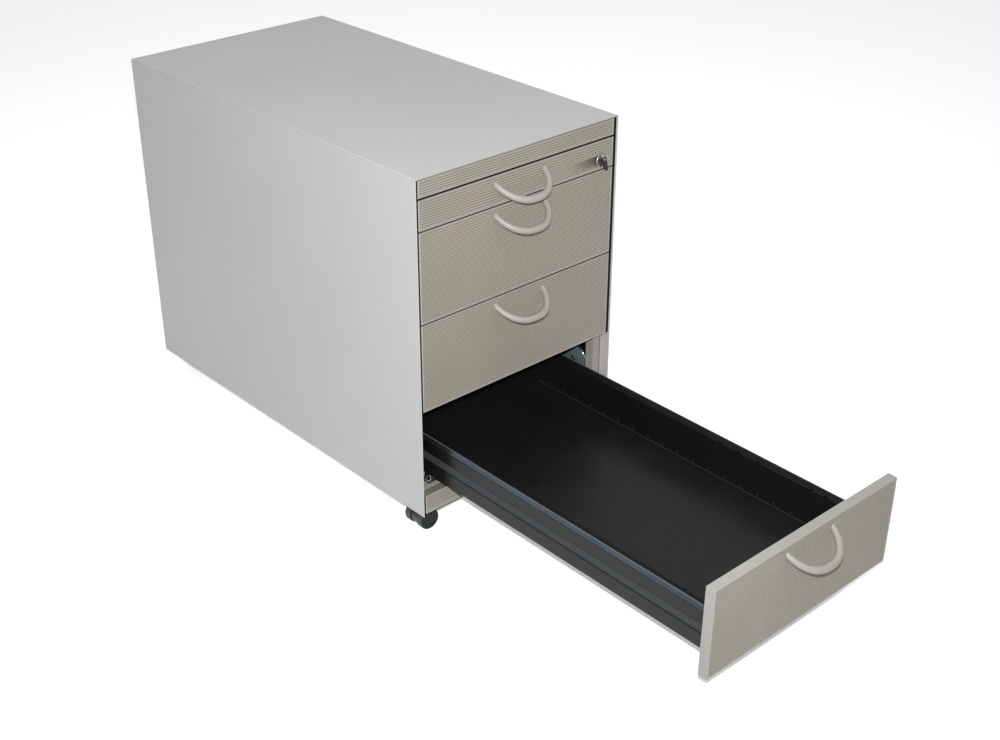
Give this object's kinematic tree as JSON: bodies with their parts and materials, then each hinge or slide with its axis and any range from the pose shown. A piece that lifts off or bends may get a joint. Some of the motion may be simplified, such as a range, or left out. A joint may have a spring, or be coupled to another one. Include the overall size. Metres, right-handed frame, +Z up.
{
  "type": "filing cabinet",
  "caption": "Mobile steel drawer pedestal on castors with ribbed drawer fronts and bow handles, bottom drawer open.",
  "frame": {"origin": "on the floor, under the middle of the whole object with its bottom drawer open", "axes": "+Z up, the drawers open towards -Y, and +X is to the right when looking at the drawer fronts"},
  "size_m": [0.42, 1.4203, 0.617],
  "materials": {
    "light_enamel": "satin",
    "frame_enamel": "satin",
    "ribbed_front": "matt, ribbed",
    "handle_grey": "satin",
    "black_enamel": "satin",
    "zinc": "galvanised",
    "black_plastic": "satin",
    "tread_grey": "matt",
    "chrome": "polished"
  },
  "bodies": {
    "carcass": {"side_panel_left": "light_enamel", "side_panel_right": "light_enamel", "top_panel": "light_enamel", "back_panel": "light_enamel", "base_plate": "frame_enamel", "front_post_left": "frame_enamel", "front_post_right": "frame_enamel", "rear_post_left": "frame_enamel", "rear_post_right": "frame_enamel", "top_front_rail": "frame_enamel", "base_front_rail": "frame_enamel", "plinth_panel": "ribbed_front", "top_strip": "ribbed_front", "drawer_4_rail_left": "zinc", "drawer_4_rail_right": "zinc", "drawer_3_rail_left": "zinc", "drawer_3_rail_right": "zinc", "drawer_2_rail_left": "zinc", "drawer_2_rail_right": "zinc", "drawer_1_rail_left": "zinc", "drawer_1_rail_right": "zinc", "interlock_spring": "zinc"},
    "drawer_4_front_roller_left": {"drawer_4_front_roller_left": "black_plastic"},
    "drawer_4_front_roller_right": {"drawer_4_front_roller_right": "black_plastic"},
    "drawer_4_axle": {"drawer_4_rear_axle": "zinc"},
    "drawer_4": {"drawer_4_box": "black_enamel", "drawer_4_front": "ribbed_front", "drawer_4_handle": "handle_grey"},
    "drawer_3_front_roller_left": {"drawer_3_front_roller_left": "black_plastic"},
    "drawer_3_front_roller_right": {"drawer_3_front_roller_right": "black_plastic"},
    "drawer_3_axle": {"drawer_3_rear_axle": "zinc"},
    "drawer_3": {"drawer_3_box": "black_enamel", "drawer_3_front": "ribbed_front", "drawer_3_handle": "handle_grey"},
    "drawer_2_front_roller_left": {"drawer_2_front_roller_left": "black_plastic"},
    "drawer_2_front_roller_right": {"drawer_2_front_roller_right": "black_plastic"},
    "drawer_2_axle": {"drawer_2_rear_axle": "zinc"},
    "drawer_2": {"drawer_2_box": "black_enamel", "drawer_2_front": "ribbed_front", "drawer_2_handle": "handle_grey"},
    "drawer_1_front_roller_left": {"drawer_1_front_roller_left": "black_plastic"},
    "drawer_1_front_roller_right": {"drawer_1_front_roller_right": "black_plastic"},
    "drawer_1_axle": {"drawer_1_rear_axle": "zinc"},
    "drawer_1": {"drawer_1_box": "black_enamel", "drawer_1_front": "ribbed_front", "drawer_1_handle": "handle_grey", "lock_sleeve": "chrome"},
    "lock": {"lock_cylinder": "zinc", "key_blade": "zinc"},
    "key_bow": {"key_bow": "black_plastic"},
    "lock_bar": {"lock_bar": "zinc"},
    "interlock_disc": {"interlock_disc": "zinc"},
    "castor_front_left": {"castor_front_left_body": "black_plastic"},
    "castor_front_left_wheels": {"castor_front_left_wheels": "tread_grey"},
    "castor_front_right": {"castor_front_right_body": "black_plastic"},
    "castor_front_right_wheels": {"castor_front_right_wheels": "tread_grey"},
    "castor_rear_left": {"castor_rear_left_body": "black_plastic"},
    "castor_rear_left_wheels": {"castor_rear_left_wheels": "tread_grey"},
    "castor_rear_right": {"castor_rear_right_body": "black_plastic"},
    "castor_rear_right_wheels": {"castor_rear_right_wheels": "tread_grey"}
  },
  "joints": [
    {"name": "drawer_4_front_roller_left_spin", "type": "hinge", "parent": "carcass", "child": "drawer_4_front_roller_left", "pos_m": [0, -0.045, 0.0851], "axis": [1, 0, 0], "continuous": true},
    {"name": "drawer_4_front_roller_right_spin", "type": "hinge", "parent": "carcass", "child": "drawer_4_front_roller_right", "pos_m": [0, -0.045, 0.0851], "axis": [1, 0, 0], "continuous": true},
    {"name": "drawer_4_slide", "type": "slide", "parent": "carcass", "child": "drawer_4_axle", "axis": [0, -1, 0], "range_m": [-0.5905, 0]},
    {"name": "drawer_4_droop", "type": "hinge", "parent": "drawer_4_axle", "child": "drawer_4", "pos_m": [0, 0.0515, 0.1047], "axis": [1, 0, 0], "range_deg": [-0.77399, 0]},
    {"name": "drawer_3_front_roller_left_spin", "type": "hinge", "parent": "carcass", "child": "drawer_3_front_roller_left", "pos_m": [0, -0.045, 0.2374], "axis": [1, 0, 0], "continuous": true},
    {"name": "drawer_3_front_roller_right_spin", "type": "hinge", "parent": "carcass", "child": "drawer_3_front_roller_right", "pos_m": [0, -0.045, 0.2374], "axis": [1, 0, 0], "continuous": true},
    {"name": "drawer_3_slide", "type": "slide", "parent": "carcass", "child": "drawer_3_axle", "axis": [0, -1, 0], "range_m": [0, 0.5905]},
    {"name": "drawer_3_droop", "type": "hinge", "parent": "drawer_3_axle", "child": "drawer_3", "pos_m": [0, 0.642, 0.257], "axis": [1, 0, 0], "range_deg": [0, 0.77399]},
    {"name": "drawer_2_front_roller_left_spin", "type": "hinge", "parent": "carcass", "child": "drawer_2_front_roller_left", "pos_m": [0, -0.045, 0.3897], "axis": [1, 0, 0], "continuous": true},
    {"name": "drawer_2_front_roller_right_spin", "type": "hinge", "parent": "carcass", "child": "drawer_2_front_roller_right", "pos_m": [0, -0.045, 0.3897], "axis": [1, 0, 0], "continuous": true},
    {"name": "drawer_2_slide", "type": "slide", "parent": "carcass", "child": "drawer_2_axle", "axis": [0, -1, 0], "range_m": [0, 0.5905]},
    {"name": "drawer_2_droop", "type": "hinge", "parent": "drawer_2_axle", "child": "drawer_2", "pos_m": [0, 0.642, 0.4093], "axis": [1, 0, 0], "range_deg": [0, 0.77399]},
    {"name": "drawer_1_front_roller_left_spin", "type": "hinge", "parent": "carcass", "child": "drawer_1_front_roller_left", "pos_m": [0, -0.045, 0.5227], "axis": [1, 0, 0], "continuous": true},
    {"name": "drawer_1_front_roller_right_spin", "type": "hinge", "parent": "carcass", "child": "drawer_1_front_roller_right", "pos_m": [0, -0.045, 0.5227], "axis": [1, 0, 0], "continuous": true},
    {"name": "drawer_1_slide", "type": "slide", "parent": "carcass", "child": "drawer_1_axle", "axis": [0, -1, 0], "range_m": [0, 0.5905]},
    {"name": "drawer_1_droop", "type": "hinge", "parent": "drawer_1_axle", "child": "drawer_1", "pos_m": [0, 0.642, 0.5423], "axis": [1, 0, 0], "range_deg": [0, 0.77399]},
    {"name": "lock_turn", "type": "hinge", "parent": "drawer_1", "child": "lock", "pos_m": [0.175, -0.076, 0.5488], "axis": [0, 1, 0], "range_deg": [0, 90]},
    {"name": "key_fold", "type": "hinge", "parent": "lock", "child": "key_bow", "pos_m": [0.17363, -0.084, 0.55256], "axis": [-0.9397, 0, -0.342], "range_deg": [0, 90]},
    {"name": "lock_bar_lift", "type": "slide", "parent": "carcass", "child": "lock_bar", "axis": [0, 0, -1], "range_m": [0, 0.012]},
    {"name": "interlock_turn", "type": "hinge", "parent": "carcass", "child": "interlock_disc", "pos_m": [0, -0.0115, 0.159], "axis": [1, 0, 0], "range_deg": [0, 36.87]},
    {"name": "castor_front_left_swivel", "type": "hinge", "parent": "carcass", "child": "castor_front_left", "pos_m": [-0.1723, -0.0455, 0.02], "axis": [0, 0, 1], "continuous": true},
    {"name": "castor_front_left_roll", "type": "hinge", "parent": "castor_front_left", "child": "castor_front_left_wheels", "pos_m": [-0.1883, -0.0455, 0.0184], "axis": [0, 1, 0], "continuous": true},
    {"name": "castor_front_right_swivel", "type": "hinge", "parent": "carcass", "child": "castor_front_right", "pos_m": [0.1723, -0.0455, 0.02], "axis": [0, 0, 1], "continuous": true},
    {"name": "castor_front_right_roll", "type": "hinge", "parent": "castor_front_right", "child": "castor_front_right_wheels", "pos_m": [0.15726, -0.05097, 0.0184], "axis": [-0.342, 0.9397, 0], "continuous": true},
    {"name": "castor_rear_left_swivel", "type": "hinge", "parent": "carcass", "child": "castor_rear_left", "pos_m": [-0.1723, 0.6665, 0.02], "axis": [0, 0, 1], "continuous": true},
    {"name": "castor_rear_left_roll", "type": "hinge", "parent": "castor_rear_left", "child": "castor_rear_left_wheels", "pos_m": [-0.15844, 0.6745, 0.0184], "axis": [0.5, -0.866, 0], "continuous": true},
    {"name": "castor_rear_right_swivel", "type": "hinge", "parent": "carcass", "child": "castor_rear_right", "pos_m": [0.1723, 0.6665, 0.02], "axis": [0, 0, 1], "continuous": true},
    {"name": "castor_rear_right_roll", "type": "hinge", "parent": "castor_rear_right", "child": "castor_rear_right_wheels", "pos_m": [0.1643, 0.68036, 0.0184], "axis": [0.866, 0.5, 0], "continuous": true}
  ],
  "couplings": [
    {"joint": "drawer_4_droop", "follows": "drawer_4_slide", "rad_per_m": 0.022862},
    {"joint": "drawer_3_droop", "follows": "drawer_3_slide", "rad_per_m": 0.022862},
    {"joint": "drawer_2_droop", "follows": "drawer_2_slide", "rad_per_m": 0.022862},
    {"joint": "drawer_1_droop", "follows": "drawer_1_slide", "rad_per_m": 0.022862},
    {"joint": "lock_turn", "follows": "lock_bar_lift", "rad_per_m": 130.89},
    {"joint": "interlock_turn", "follows": "lock_bar_lift", "rad_per_m": 53.62}
  ]
}
